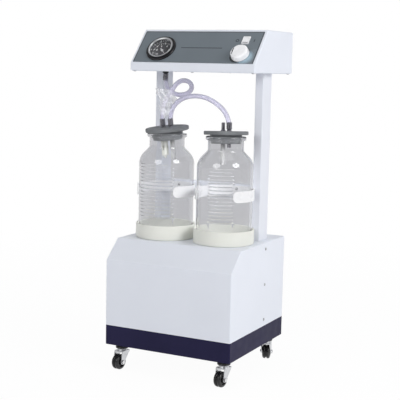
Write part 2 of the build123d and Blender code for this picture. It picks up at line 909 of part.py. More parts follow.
# Vacuum gauge: case, dial, needle, window and bezel
flange_top = fascia_sheet + gauge_flange_thick
pin_radius = 1.0
with BuildPart() as gauge_case:
    case_outline = [
        (0, -gauge_case_depth),
        (gauge_case_radius, -gauge_case_depth),
        (gauge_case_radius, fascia_sheet),
        (gauge_flange_radius, fascia_sheet),
        (gauge_flange_radius, flange_top - 1.5),
        (gauge_flange_radius - 1.5, flange_top),
        (dial_radius + 0.5, flange_top),
        (dial_radius + 0.5, -gauge_well),
        (pin_radius + running_gap, -gauge_well),
        (pin_radius + running_gap, -gauge_well - 10),
        (0, -gauge_well - 10),
    ]
    turned(gauge_base, case_outline)
    with BuildSketch(gauge_base.offset(-gauge_case_depth)):
        RegularPolygon(8, 6)
    extrude(amount=-8)
    with BuildSketch(gauge_base.offset(-gauge_case_depth - 8)):
        Circle(barb_radius)
    extrude(amount=-14)
save(gauge_case.part, "gauge_case")

with BuildPart() as gauge_dial:
    with BuildSketch(gauge_base.offset(-gauge_well)):
        Circle(dial_radius)
        Circle(pin_radius + 1, mode=Mode.SUBTRACT)
    extrude(amount=dial_thick)
save(gauge_dial.part, "gauge_dial")

needle_level = -gauge_well + dial_thick + 1.5
with BuildPart() as needle:
    turned(
        gauge_base,
        [
            (0, -gauge_well - 9),
            (pin_radius, -gauge_well - 9),
            (pin_radius, needle_level),
            (3.6, needle_level),
            (3.6, needle_level + 1.4),
            (2.4, needle_level + 2.2),
            (0, needle_level + 2.2),
        ],
    )
    with BuildSketch(spun(gauge_base, needle_zero).offset(needle_level)):
        with BuildLine():
            Polyline(
                (-needle_tail, -1.6),
                (0, -1.2),
                (needle_length, -0.35),
                (needle_length, 0.35),
                (0, 1.2),
                (-needle_tail, 1.6),
                close=True,
            )
        make_face()
    extrude(amount=0.8)
save(needle.part, "gauge_needle")

with BuildPart() as gauge_window:
    with BuildSketch(gauge_base.offset(flange_top)):
        Circle(window_radius)
    extrude(amount=window_thick)
save(gauge_window.part, "gauge_window")

with BuildPart() as gauge_bezel:
    bezel_top = flange_top + bezel_height
    window_top = flange_top + window_thick
    bezel_outline = [
        (window_radius + running_gap, flange_top),
        (bezel_outer_radius, flange_top),
        (bezel_outer_radius, bezel_top - 1.2),
        (bezel_outer_radius - 1.2, bezel_top),
        (bezel_inner_radius + 1.5, bezel_top),
        (bezel_inner_radius, window_top + 0.6),
        (bezel_inner_radius, window_top),
        (window_radius + running_gap, window_top),
    ]
    turned(gauge_base, bezel_outline)
save(gauge_bezel.part, "gauge_bezel")

# Vacuum regulator: a valve body behind the slope, its spindle and the knob
knob_foot = fascia_sheet + 1.5
spindle_bore = spindle_radius + running_gap
with BuildPart() as valve_body:
    valve_outline = [
        (0, -valve_depth),
        (valve_radius, -valve_depth),
        (valve_radius, -head_sheet),
        (bushing_radius, -head_sheet),
        (bushing_radius, fascia_sheet),
        (spindle_bore, fascia_sheet),
        (spindle_bore, -valve_depth + 6),
        (0, -valve_depth + 6),
    ]
    turned(knob_base, valve_outline)
    with BuildSketch(section(knob_base)):
        with Locations((0, -valve_depth / 2 - 1)):
            Circle(barb_radius)
    extrude(amount=-(valve_radius + 16))
    with BuildSketch(knob_base.offset(fascia_sheet)):
        Circle(spindle_bore)
    extrude(amount=-(valve_depth - 6 + fascia_sheet), mode=Mode.SUBTRACT)
save(valve_body.part, "regulator_valve")

with BuildPart() as spindle:
    turned(
        knob_base,
        [
            (0, -valve_depth + 7),
            (1, -valve_depth + 7),
            (spindle_radius, -valve_depth + 11),
            (spindle_radius, knob_foot + 8),
            (0, knob_foot + 8),
        ],
    )
save(spindle.part, "regulator_spindle")

with BuildPart() as knob:
    rim = knob_foot + knob_height
    knob_outline = [
        (spindle_bore, knob_foot),
        (spindle_radius + 4, knob_foot),
        (spindle_radius + 4, knob_foot + 6),
        (knob_radius - 3, knob_foot + 6),
        (knob_radius - 2, knob_foot),
        (knob_radius, knob_foot),
        (knob_radius - 1.2, rim - 3.5),
        (knob_radius - 6, rim - 0.6),
        (0, rim),
        (0, knob_foot + 8),
        (spindle_bore, knob_foot + 8),
    ]
    turned(knob_base, knob_outline)
    with BuildSketch(knob_base.offset(rim)):
        with PolarLocations(knob_radius - 4.5, 1, start_angle=165):
            SlotOverall(9, 1.8, rotation=90)
    extrude(amount=-3, mode=Mode.SUBTRACT)
save(knob.part, "regulator_knob")

# Rocker switch: a framed well behind the slope and the rocker on its two stub pins
well_width = rocker_width + 1.0
well_length = rocker_length + 2.0
well_depth = 12.0
pivot_drop = 1.0
frame_top = fascia_sheet + 2.0
pivot = moved(switch_base, 0, 0, frame_top - pivot_drop)
stub_radius = 1.2
with BuildPart() as switch_frame:
    with BuildSketch(switch_base.offset(fascia_sheet)):
        RectangleRounded(switch_width, switch_length, 1.2)
    extrude(amount=2.0, taper=8)
    with BuildSketch(switch_base.offset(fascia_sheet)):
        Rectangle(switch_width - 2 * switch_rim, switch_length - 2 * switch_rim)
    extrude(amount=-22)
    with BuildSketch(switch_base.offset(frame_top)):
        Rectangle(well_width, well_length)
    extrude(amount=-well_depth, mode=Mode.SUBTRACT)
    with BuildSketch(Plane(origin=pivot.origin, x_dir=pivot.y_dir, z_dir=pivot.x_dir)):
        Circle(stub_radius + running_gap)
    extrude(amount=well_width / 2 + 0.7, both=True, mode=Mode.SUBTRACT)
    with BuildSketch(switch_base.offset(-22 + fascia_sheet)):
        with GridLocations(0, 8, 1, 2):
            Rectangle(6, 0.8)
    extrude(amount=-9)
save(switch_frame.part, "switch_frame")

with BuildPart() as rocker:
    rocker_side = Plane(origin=pivot.origin, x_dir=pivot.y_dir, z_dir=pivot.x_dir)
    tilted = spun(rocker_side, -rocker_tilt)
    half = rocker_length / 2
    with BuildSketch(tilted):
        with BuildLine():
            Polyline((half, 2.6), (half - 1.5, -3), (1.5 - half, -3), (-half, 2.6))
            ThreePointArc((-half, 2.6), (0, 0.9), (half, 2.6))
        make_face()
    extrude(amount=rocker_width / 2, both=True)
    with BuildSketch(rocker_side):
        Circle(stub_radius)
    extrude(amount=well_width / 2 + 0.6, both=True)
save(rocker.part, "switch_rocker")

# Hose connector hanging from the head's base plate
plate_bottom = head_bottom - head_sheet
connector_base = Plane(origin=(*connector_place, plate_bottom), x_dir=(1, 0, 0), z_dir=(0, 0, -1))
with BuildPart() as connector:
    step = barb_length / barb_ridges
    connector_outline = [
        (port_radius, -head_sheet - 14),
        (fitting_bore, -head_sheet - 14),
        (fitting_bore, 0),
        (connector_collar, 0),
        (connector_collar, 4),
        (barb_radius, flare_height + 2),
    ]
    for ridge in range(barb_ridges):
        foot = flare_height + 2 + ridge * step
        connector_outline.append((barb_radius - 0.8, foot + 0.5))
        connector_outline.append((barb_radius, foot + 0.45 * step))
        connector_outline.append((barb_radius - 0.8, foot + step))
    connector_outline.append((port_radius, flare_height + 2 + barb_length))
    turned(connector_base, connector_outline)
save(connector.part, "vacuum_connector")

# Soft hoses, pushed over the barbs: route points chosen along the shown curves
connector_foot = Vector(*connector_place, plate_bottom - flare_height - 2)


def barb_point(side, port, height):
    return stopper_planes[side].from_local_coords((port * port_spacing / 2, 0, height))


hose_routes = {
    "head_hose": [
        connector_foot,
        connector_foot - Vector(0, 0, hose_straight),
        Vector(-98, -10, 735),
        Vector(-84, -5, 721),
        Vector(-65, 1, 713.5),
        Vector(-45, 3, 716),
        Vector(-29, 1, 728),
        Vector(-22, -5, 745),
        Vector(-30, -13, 760),
        Vector(-47, -21, 764),
        Vector(-61, -27, 754),
        Vector(-71, -31.5, 737),
        Vector(-80, -34, 719),
        Vector(-93, -35, 705),
        Vector(-99.5, -35, 685),
        barb_point("left", -1, barb_foot + hose_straight),
        barb_point("left", -1, barb_foot),
    ],
    "link_hose": [
        barb_point("left", 1, barb_foot),
        barb_point("left", 1, barb_foot + hose_straight),
        Vector(-75, -34, 684),
        Vector(-64, -34, 705),
        Vector(-44, -33.5, 718),
        Vector(-18, -33, 723),
        Vector(11, -32.5, 723),
        Vector(38, -32.5, 715),
        Vector(62, -32.5, 701),
        Vector(81, -32.8, 683),
        barb_point("right", 1, barb_foot + hose_straight),
        barb_point("right", 1, barb_foot),
    ],
}
for name, route in hose_routes.items():
    radii = []
    for before, corner, after in zip(route, route[1:], route[2:]):
        arriving = corner - before
        leaving = after - corner
        half_turn = radians(arriving.get_angle(leaving)) / 2
        radii.append(0.45 * min(arriving.length, leaving.length) / tan(half_turn))
    with BuildPart() as hose:
        with BuildLine() as path:
            FilletPolyline(*route, radius=radii)
        with BuildSketch(Plane(origin=route[0], z_dir=route[1] - route[0])):
            Circle(hose_outer / 2)
            Circle(hose_bore / 2, mode=Mode.SUBTRACT)
        sweep()
    save(hose.part, name)
    ring = pi * (hose_outer**2 - hose_bore**2) / 4
    length = path.wire().length
    print(name, "length", round(length, 1), "radii", [round(radius, 1) for radius in radii])
    print(name, "volume", round(hose.part.volume, 1), "section times length", round(ring * length, 1))

# Film wrapped round the hoses' crossing: a soft bundle that hangs in front of them
with BuildPart() as film:
    film_y = -45.8
    for height, middle, width, thick in (
        (726, -90, 40, 7),
        (710, -88, 44, 9),
        (692, -90, 28, 8),
        (650, -88, 26, 7),
    ):
        with BuildSketch(Plane(origin=(middle, film_y, height), x_dir=(1, 0, 0), z_dir=(0, 0, 1))):
            Ellipse(width / 2, thick / 2)
    loft()
save(film.part, "film_wrap")

# Pump: motor between two crankcases on a plate, its shaft with two fans, and the rubber feet
shaft_plane = Plane(origin=(0, pump_y, pump_axis), x_dir=(0, 1, 0), z_dir=(1, 0, 0))
plate_foot = tray_floor + mount_height
pump_reach = motor_length / 2 + crankcase_length
with BuildPart() as pump_mounts:
    for foot_x in (-1, 1):
        for foot_y in (-1, 1):
            foot = upright(
                foot_x * (pump_plate_width / 2 - mount_radius),
                pump_y + foot_y * (pump_plate_depth / 2 - mount_radius),
                tray_floor,
            )
            turned(
                foot,
                [
                    (0, 0),
                    (mount_radius, 0),
                    (mount_radius - 3, mount_height / 2),
                    (mount_radius, mount_height),
                    (0, mount_height),
                ],
            )
save(pump_mounts.part, "pump_mounts")

with BuildPart() as pump_body:
    with BuildSketch(Plane.XY.offset(plate_foot)):
        with Locations((0, pump_y)):
            RectangleRounded(pump_plate_width, pump_plate_depth, 6)
    extrude(amount=pump_plate_thick)
    with BuildSketch(Plane.XY.offset(plate_foot)):
        with Locations((-pump_foot_spacing / 2, pump_y), (pump_foot_spacing / 2, pump_y)):
            Rectangle(pump_foot_width, pump_foot_depth)
    extrude(amount=pump_axis - plate_foot)
    with BuildSketch(shaft_plane):
        Circle(motor_radius)
    extrude(amount=motor_length / 2, both=True)
    with BuildSketch(shaft_plane):
        Circle(shaft_radius + running_gap)
    extrude(amount=motor_length, both=True, mode=Mode.SUBTRACT)
save(pump_body.part, "pump_motor")

with BuildPart() as pump_heads:
    for sign in sides.values():
        head_plane = shaft_plane.offset(sign * motor_length / 2)
        with BuildSketch(head_plane):
            Circle(crankcase_radius)
        extrude(amount=sign * crankcase_length)
        head_x = sign * (motor_length + crankcase_length) / 2
        cylinder_base = upright(head_x, pump_y, pump_axis)
        with BuildSketch(cylinder_base):
            Rectangle(crankcase_length, 2 * cylinder_radius)
        extrude(amount=cylinder_height)
        for fin in range(3):
            with BuildSketch(cylinder_base.offset(crankcase_radius + 8 + 9 * fin)):
                Rectangle(crankcase_length, 2 * cylinder_radius + 10)
            extrude(amount=3)
        with BuildSketch(cylinder_base.offset(cylinder_height - 8)):
            Rectangle(crankcase_length, 2 * cylinder_radius + 10)
        extrude(amount=8)
    with BuildSketch(shaft_plane):
        Circle(shaft_radius + running_gap)
    extrude(amount=2 * motor_length, both=True, mode=Mode.SUBTRACT)
save(pump_heads.part, "pump_heads")

with BuildPart() as shaft:
    with BuildSketch(shaft_plane):
        Circle(shaft_radius)
    extrude(amount=pump_reach + 18, both=True)
save(shaft.part, "motor_shaft")

with BuildPart() as fans:
    for sign in sides.values():
        fan_plane = shaft_plane.offset(sign * (pump_reach + 3))
        with BuildSketch(fan_plane):
            Circle(shaft_radius + 5)
        extrude(amount=sign * 12)
        with BuildSketch(fan_plane):
            Circle(fan_radius)
        extrude(amount=sign * 1.5)
        with BuildSketch(fan_plane):
            with PolarLocations((fan_radius + shaft_radius) / 2 + 1, fan_blades):
                Rectangle(fan_radius - shaft_radius - 4, 1.6, rotation=25)
        extrude(amount=sign * 12)
    with BuildSketch(shaft_plane):
        Circle(shaft_radius + running_gap)
    extrude(amount=2 * motor_length, both=True, mode=Mode.SUBTRACT)
save(fans.part, "cooling_fans")

# Screws: two in the clips, three in each side of the cover, four behind, six under the head
with BuildPart() as screws:
    for sign in sides.values():
        clip_face = Plane(
            origin=(sign * jar_x, jar_y + clip_radius - seat_gap, clip_screw_z),
            x_dir=(1, 0, 0),
            z_dir=(0, -1, 0),
        )
        screw(clip_face)
        for z in cover_screw_rows:
            screw(
                Plane(
                    origin=(sign * cabinet_width / 2, cover_screw_y, z),
                    x_dir=(0, 1, 0),
                    z_dir=(sign, 0, 0),
                )
            )
        for level in (-1, 1):
            screw(
                Plane(
                    origin=(sign * rear_screw_x, panel_outer, rear_middle + level * rear_screw_z),
                    x_dir=(1, 0, 0),
                    z_dir=(0, 1, 0),
                )
            )
    for across in (-1, 0, 1):
        for along in (-1, 1):
            screw(
                Plane(
                    origin=(across * head_screw_x, plate_middle + along * head_screw_y, plate_bottom),
                    x_dir=(1, 0, 0),
                    z_dir=(0, 0, -1),
                )
            )
save(screws.part, "cover_screws")
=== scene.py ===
import bmesh
import bpy
import json
from math import atan2, cos, pi, radians, sin, tan
from mathutils import Matrix, Vector, noise


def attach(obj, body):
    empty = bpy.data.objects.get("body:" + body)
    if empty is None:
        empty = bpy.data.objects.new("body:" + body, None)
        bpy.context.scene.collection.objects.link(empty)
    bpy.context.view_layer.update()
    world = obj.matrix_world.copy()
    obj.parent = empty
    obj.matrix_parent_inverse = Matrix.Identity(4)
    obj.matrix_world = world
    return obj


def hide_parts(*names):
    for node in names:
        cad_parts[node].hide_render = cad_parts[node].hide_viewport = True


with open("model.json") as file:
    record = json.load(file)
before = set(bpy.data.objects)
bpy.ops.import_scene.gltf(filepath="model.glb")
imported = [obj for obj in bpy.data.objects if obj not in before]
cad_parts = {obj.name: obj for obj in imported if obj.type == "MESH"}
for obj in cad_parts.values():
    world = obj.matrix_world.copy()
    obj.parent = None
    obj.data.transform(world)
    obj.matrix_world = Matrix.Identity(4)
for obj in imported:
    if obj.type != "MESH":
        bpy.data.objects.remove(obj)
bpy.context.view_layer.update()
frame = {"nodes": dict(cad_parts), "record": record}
nodes = frame["nodes"]
print("frame loaded")

# Places shared by several pieces, in metres and degrees
slope = {"foot": (0.0, -0.069, 0.802), "angle": 48.5}
gaugePlace = (-0.104, 0.048)
knobPlace = (0.129, 0.031)
jars = {
    "left": {"x": -0.086, "lean": 6.5, "heading": 230.0, "ports": 0.0},
    "right": {"x": 0.086, "lean": 3.5, "heading": 125.0, "ports": -25.0},
}
jarStand = {"y": -0.030, "floor": 0.346, "rim": 0.619, "seatGap": 0.0003, "lipReach": 0.0504}


def placeOf(origin, across, normal):
    # a matrix whose x runs along across and whose z runs along normal
    z = Vector(normal).normalized()
    x = (Vector(across) - z * Vector(across).dot(z)).normalized()
    y = z.cross(x)
    turned = Matrix((x, y, z)).transposed().to_4x4()
    return Matrix.Translation(Vector(origin)) @ turned


slopeNormal = (0.0, -sin(radians(slope["angle"])), cos(radians(slope["angle"])))
slopePlace = placeOf(slope["foot"], (1, 0, 0), slopeNormal)


def onSlope(across, up, proud=0.0):
    # a place on the sloped face, whose z points out of it
    return slopePlace @ Matrix.Translation((across, up, proud))


def stopperPlace(side):
    # the leaning seat of a stopper on its jar's lip, whose x runs through the two ports
    stand = jars[side]
    lean = radians(stand["lean"])
    toward = radians(stand["heading"])
    ports = radians(stand["ports"])
    axis = (sin(lean) * cos(toward), sin(lean) * sin(toward), cos(lean))
    seat = jarStand["rim"] + jarStand["seatGap"] + jarStand["lipReach"] * sin(lean)
    return placeOf((stand["x"], jarStand["y"], seat), (cos(ports), sin(ports), 0.0), axis)


# Material parts that several finishes use


def newMaterial(name):
    material = bpy.data.materials.new(name)
    material.use_nodes = True
    tree = material.node_tree
    return material, tree.nodes, tree.links, tree.nodes["Principled BSDF"]


def addNoise(tree, links, scale, detail):
    coordinates = tree.new("ShaderNodeTexCoord")
    pattern = tree.new("ShaderNodeTexNoise")
    pattern.inputs["Scale"].default_value = scale
    pattern.inputs["Detail"].default_value = detail
    links.new(coordinates.outputs["Object"], pattern.inputs["Vector"])
    return pattern.outputs["Fac"]


def addRange(tree, links, source, low, high, fromLow=0.3, fromHigh=0.7):
    # spreads a source from low to high; noise lies mostly between 0.3 and 0.7
    spread = tree.new("ShaderNodeMapRange")
    spread.inputs["From Min"].default_value = fromLow
    spread.inputs["From Max"].default_value = fromHigh
    spread.inputs["To Min"].default_value = low
    spread.inputs["To Max"].default_value = high
    links.new(source, spread.inputs["Value"])
    return spread.outputs["Result"]


def addMath(tree, links, operation, first, second):
    step = tree.new("ShaderNodeMath")
    step.operation = operation
    links.new(first, step.inputs[0])
    links.new(second, step.inputs[1])
    return step.outputs["Value"]


def addVectorMath(tree, links, operation, first, second=None):
    step = tree.new("ShaderNodeVectorMath")
    step.operation = operation
    links.new(first, step.inputs[0])
    if second:
        step.inputs[1].default_value = second
    return step.outputs["Value" if operation in ("LENGTH", "DISTANCE") else "Vector"]


def mixShaders(tree, links, share, first, second):
    blend = tree.new("ShaderNodeMixShader")
    links.new(share, blend.inputs["Fac"])
    links.new(first, blend.inputs[1])
    links.new(second, blend.inputs[2])
    return blend.outputs["Shader"]


def addColour(tree, links, shader, source, stops):
    ramp = tree.new("ShaderNodeValToRGB")
    while len(ramp.color_ramp.elements) < len(stops):
        ramp.color_ramp.elements.new(0.5)
    for element, (position, colour) in zip(ramp.color_ramp.elements, stops):
        element.position = position
        element.color = (*colour, 1.0)
    links.new(source, ramp.inputs["Fac"])
    links.new(ramp.outputs["Color"], shader.inputs["Base Color"])


def addGloss(tree, links, shader, source, roughness, smoother, rougher):
    spread = addRange(tree, links, source, roughness - smoother, roughness + rougher)
    links.new(spread, shader.inputs["Roughness"])


def addBump(tree, links, shader, source, strength, distance):
    bump = tree.new("ShaderNodeBump")
    bump.inputs["Strength"].default_value = strength
    bump.inputs["Distance"].default_value = distance
    links.new(source, bump.inputs["Height"])
    links.new(bump.outputs["Normal"], shader.inputs["Normal"])


def enamel(name, light, dark, roughness, shine=0.5):
    # sprayed and baked paint: faint cloudiness, uneven gloss and a fine orange peel
    material, tree, links, shader = newMaterial(name)
    shader.inputs["Specular IOR Level"].default_value = shine
    cloud = addNoise(tree, links, scale=9.0, detail=5.0)
    addColour(tree, links, shader, cloud, [(0.3, dark), (0.7, light)])
    sheen = addNoise(tree, links, scale=38.0, detail=6.0)
    addGloss(tree, links, shader, sheen, roughness, smoother=0.04, rougher=0.05)
    skin = addNoise(tree, links, scale=620.0, detail=2.0)
    addBump(tree, links, shader, skin, strength=0.06, distance=0.0004)
    return material


def moulded(name, light, dark, roughness, grain=420.0, bump=0.12):
    # moulded plastic or rubber: soft mottling and a fine surface grain
    material, tree, links, shader = newMaterial(name)
    mottle = addNoise(tree, links, scale=26.0, detail=6.0)
    addColour(tree, links, shader, mottle, [(0.32, dark), (0.68, light)])
    wear = addNoise(tree, links, scale=70.0, detail=5.0)
    addGloss(tree, links, shader, wear, roughness, smoother=0.06, rougher=0.08)
    skin = addNoise(tree, links, scale=grain, detail=3.0)
    addBump(tree, links, shader, skin, strength=bump, distance=0.0003)
    return material


def metal(name, light, dark, roughness):
    # plated or turned metal: stained colour, streaked gloss and fine scratches
    material, tree, links, shader = newMaterial(name)
    shader.inputs["Metallic"].default_value = 1.0
    stain = addNoise(tree, links, scale=34.0, detail=6.0)
    addColour(tree, links, shader, stain, [(0.3, dark), (0.7, light)])
    streak = addNoise(tree, links, scale=240.0, detail=4.0)
    addGloss(tree, links, shader, streak, roughness, smoother=0.05, rougher=0.09)
    addBump(tree, links, shader, streak, strength=0.08, distance=0.0002)
    return material


def letLampsThrough(tree, links, shader, tint):
    # lamps' rays pass straight through, so what stands behind the glass is lit
    rays = tree.new("ShaderNodeLightPath")
    passing = tree.new("ShaderNodeBsdfTransparent")
    passing.inputs["Color"].default_value = (*tint, 1.0)
    seen, passed = shader.outputs["BSDF"], passing.outputs["BSDF"]
    mixed = mixShaders(tree, links, rays.outputs["Is Shadow Ray"], seen, passed)
    links.new(mixed, tree["Material Output"].inputs["Surface"])


def clear(name, tint, roughness, ior=1.46, wave=0.03, share=1.0):
    # glass or clear plastic: faint waviness and a slight tint
    material, tree, links, shader = newMaterial(name)
    shader.inputs["Transmission Weight"].default_value = share
    shader.inputs["IOR"].default_value = ior
    lighter = 0.035
    paler = tuple(min(1.0, value + lighter) for value in tint)
    body = addNoise(tree, links, scale=6.0, detail=3.0)
    addColour(tree, links, shader, body, [(0.2, tint), (1.0, paler)])
    haze = addNoise(tree, links, scale=45.0, detail=5.0)
    addGloss(tree, links, shader, haze, roughness, smoother=0.0, rougher=0.03)
    ripple = addNoise(tree, links, scale=22.0, detail=2.0)
    addBump(tree, links, shader, ripple, strength=wave, distance=0.002)
    letLampsThrough(tree, links, shader, paler)
    return material


# Black enamel of the gauge, bright turned metal near to its axis
gaugePaint = {
    "edge": 0.0003,
    "stops": [(0.0, (0.012, 0.012, 0.014)), (1.0, (0.80, 0.81, 0.83))],
}


def gaugeShell(name, brightTo, roughness):
    material, tree, links, shader = newMaterial(name)
    coordinates = tree.new("ShaderNodeTexCoord").outputs["Object"]
    centre = tuple(onSlope(*gaugePlace).translation)
    away = addVectorMath(tree, links, "SUBTRACT", coordinates, centre)
    aside = addVectorMath(tree, links, "CROSS_PRODUCT", away, slopeNormal)
    reach = addVectorMath(tree, links, "LENGTH", aside)
    blackFrom = brightTo + gaugePaint["edge"]
    inside = addRange(tree, links, reach, 1.0, 0.0, brightTo, blackFrom)
    addColour(tree, links, shader, inside, gaugePaint["stops"])
    links.new(inside, shader.inputs["Metallic"])
    gloss = addNoise(tree, links, scale=300.0, detail=3.0)
    addGloss(tree, links, shader, gloss, roughness, smoother=0.05, rougher=0.07)
    return material


# Pale blue beside the knob that fades into the grey of the sloped face
glowPaint = {
    "across": 0.013,
    "up": -0.008,
    "ragged": 0.002,
    "near": 0.008,
    "far": 0.026,
    "roughness": 0.45,
    "stops": [
        (0.0, (0.46, 0.62, 0.72)),
        (0.6, (0.28, 0.38, 0.45)),
        (1.0, (0.178, 0.210, 0.236)),
    ],
}


def radialPrint(name):
    material, tree, links, shader = newMaterial(name)
    coordinates = tree.new("ShaderNodeTexCoord").outputs["Object"]
    across, up = knobPlace
    centre = onSlope(across + glowPaint["across"], up + glowPaint["up"]).translation
    reach = addVectorMath(tree, links, "DISTANCE", coordinates, tuple(centre))
    grain = addNoise(tree, links, scale=300.0, detail=3.0)
    ragged = addRange(tree, links, grain, -glowPaint["ragged"], glowPaint["ragged"])
    place = addMath(tree, links, "ADD", reach, ragged)
    fade = addRange(tree, links, place, 0.0, 1.0, glowPaint["near"], glowPaint["far"])
    addColour(tree, links, shader, fade, glowPaint["stops"])
    shader.inputs["Roughness"].default_value = glowPaint["roughness"]
    return material


# Each finish: its material's name, light and dark colour or tint, roughness
finishes = {
    "white_paint": enamel("whiteEnamel", (0.81, 0.84, 0.91), (0.79, 0.82, 0.89), 0.36),
    "navy_paint": enamel(
        "navyEnamel", (0.018, 0.016, 0.056), (0.013, 0.012, 0.044), 0.45, shine=0.12
    ),
    "column_paint": enamel("columnEnamel", (0.80, 0.82, 0.88), (0.77, 0.79, 0.85), 0.36),
    "clip_paint": enamel("clipEnamel", (0.90, 0.90, 0.91), (0.87, 0.87, 0.88), 0.28),
    "motor_paint": enamel("motorEnamel", (0.10, 0.11, 0.12), (0.08, 0.09, 0.10), 0.45),
    "fascia": enamel("fasciaOverlay", (0.165, 0.195, 0.220), (0.150, 0.178, 0.202), 0.42),
    "plated_steel": metal("zincPlate", (0.74, 0.75, 0.77), (0.58, 0.59, 0.61), 0.34),
    "inner_steel": metal("galvanised", (0.55, 0.56, 0.57), (0.42, 0.43, 0.44), 0.42),
    "bright_steel": metal("brightPlate", (0.80, 0.80, 0.81), (0.68, 0.68, 0.70), 0.16),
    "screw_steel": metal("screwSteel", (0.62, 0.62, 0.63), (0.48, 0.48, 0.50), 0.28),
    "fitting": metal("turnedFitting", (0.30, 0.29, 0.32), (0.18, 0.18, 0.20), 0.28),
    "cast_aluminium": metal("castAluminium", (0.60, 0.61, 0.62), (0.44, 0.45, 0.46), 0.46),
    "glass": clear("jarGlass", (0.950, 0.952, 0.958), 0.012),
    "clear_window": clear("windowGlass", (0.97, 0.98, 0.98), 0.01, ior=1.20),
    "hose": clear("clearHose", (0.875, 0.865, 0.945), 0.16, ior=1.40, wave=0.01, share=0.80),
    "film": clear("clearFilm", (0.97, 0.97, 0.985), 0.18, ior=1.15, share=0.84),
    "dip_tube": clear("dipTube", (0.80, 0.80, 0.80), 0.20, ior=1.40, wave=0.02, share=0.60),
    "cream_plastic": moulded("creamPlastic", (0.84, 0.845, 0.785), (0.81, 0.815, 0.75), 0.38),
    "dark_rubber": moulded("stopperRubber", (0.205, 0.215, 0.225), (0.160, 0.168, 0.178), 0.62),
    "dark_plastic": moulded("blackPlastic", (0.022, 0.022, 0.024), (0.014, 0.014, 0.016), 0.40),
    "white_plastic": moulded(
        "whitePlastic", (0.94, 0.94, 0.96), (0.91, 0.91, 0.93), 0.25, grain=500.0, bump=0.03
    ),
    "castor_tread": moulded("castorTread", (0.010, 0.010, 0.012), (0.006, 0.006, 0.007), 0.30),
    "dial": moulded("dialFace", (0.020, 0.020, 0.024), (0.013, 0.013, 0.016), 0.55),
    "pointer": moulded("pointerPaint", (0.85, 0.85, 0.85), (0.78, 0.78, 0.78), 0.45),
    "needle_paint": moulded("needlePaint", (0.46, 0.46, 0.47), (0.40, 0.40, 0.41), 0.4),
    "print_white": moulded("dialPrint", (0.80, 0.80, 0.80), (0.72, 0.72, 0.72), 0.5),
    # dark print, also used for the painted shadow beside the knob and the painted groove shade
    # along the top edge
    "print_dark": moulded("darkPrintAndShadow", (0.034, 0.040, 0.048), (0.026, 0.030, 0.036), 0.5),
    "print_glow": radialPrint("glowPrint"),
    "gauge_black": gaugeShell("gaugeBlack", 0.0307, 0.19),
    "gauge_ring": gaugeShell("gaugeRing", 0.0338, 0.32),
}
# Nodes whose look differs from that of their slot
special = {
    "jar_clip_left": "clip_paint",
    "jar_clip_right": "clip_paint",
    "gauge_needle": "needle_paint",
    "dip_tube_left": "dip_tube",
    "dip_tube_right": "dip_tube",
    "gauge_case": "gauge_black",
    "gauge_bezel": "gauge_ring",
}
for row in frame["record"]["subparts"]:
    look = special.get(row["node"], row["material_slot"])
    node = nodes[row["node"]]
    node.data.materials.clear()
    node.data.materials.append(finishes[look])
print("finishes made")

# Studio: pale floor, white surround, soft light and the camera at the photograph's angle
studio = {
    "floorHalf": 14.0,
    "floorColour": (0.93, 0.93, 0.94),
    "floorRoughness": 0.9,
    "floorGlow": 0.965,
    "floorFade": (0.5, 2.2),
    "skyColour": (0.97, 0.98, 1.0, 1.0),
    "skyFront": 0.17,
    "skyBack": 0.72,
    "skyTurn": (-0.35, 0.65),
    "white": (1.0, 1.0, 1.0, 1.0),
    # painted shade: the grey that rays through the glass see in place of the white surround
    "glassShadeGrey": (0.53, 0.53, 0.55, 1.0),
    "camera": (1.1991, -2.3715, 0.7914),
    "yaw": 26.824,
    "pitch": 7.444,
    "roll": 1.263,
    "focalPixels": 1010.9,
    "imagePixels": 400,
    "sensor": 36.0,
    "clipEnd": 60.0,
}


def whiteToCamera(tree, links, shaded, kind, share, rays):
    # shows white to the camera and the named rays while the light stays as it is
    path = tree.new("ShaderNodeLightPath")
    seen = path.outputs["Is Camera Ray"]
    for ray in rays:
        seen = addMath(tree, links, "MAXIMUM", seen, path.outputs[ray])
    if share:
        seen = addMath(tree, links, "MULTIPLY", seen, share)
    glow = tree.new(kind)
    glow.inputs["Color"].default_value = studio["white"]
    return mixShaders(tree, links, seen, shaded, glow.outputs[0])


def shadeThroughGlass(tree, links, shaded, kind):
    # what stands behind the glass is a grey backdrop, as in the jars of the photograph
    path = tree.new("ShaderNodeLightPath")
    # painted shade: rays through the glass see grey in place of the white surround, which darkens
    # the jars
    backdrop = tree.new(kind)
    backdrop.inputs["Color"].default_value = studio["glassShadeGrey"]
    beyond = path.outputs["Is Transmission Ray"]
    return mixShaders(tree, links, beyond, shaded, backdrop.outputs[0])


def makeSky():
    world = bpy.data.worlds.new("studio")
    bpy.context.scene.world = world
    world.use_nodes = True
    tree, links = world.node_tree.nodes, world.node_tree.links
    tree["Background"].inputs["Color"].default_value = studio["skyColour"]
    sky = tree.new("ShaderNodeTexCoord")
    sides = tree.new("ShaderNodeSeparateXYZ")
    links.new(sky.outputs["Generated"], sides.inputs["Vector"])
    front, back = studio["skyFront"], studio["skyBack"]
    strength = addRange(tree, links, sides.outputs["Y"], front, back, *studio["skyTurn"])
    links.new(strength, tree["Background"].inputs["Strength"])
    kind = "ShaderNodeBackground"
    seen = whiteToCamera(tree, links, tree["Background"].outputs[0], kind, None, ())
    mixed = shadeThroughGlass(tree, links, seen, kind)
    links.new(mixed, tree["World Output"].inputs["Surface"])


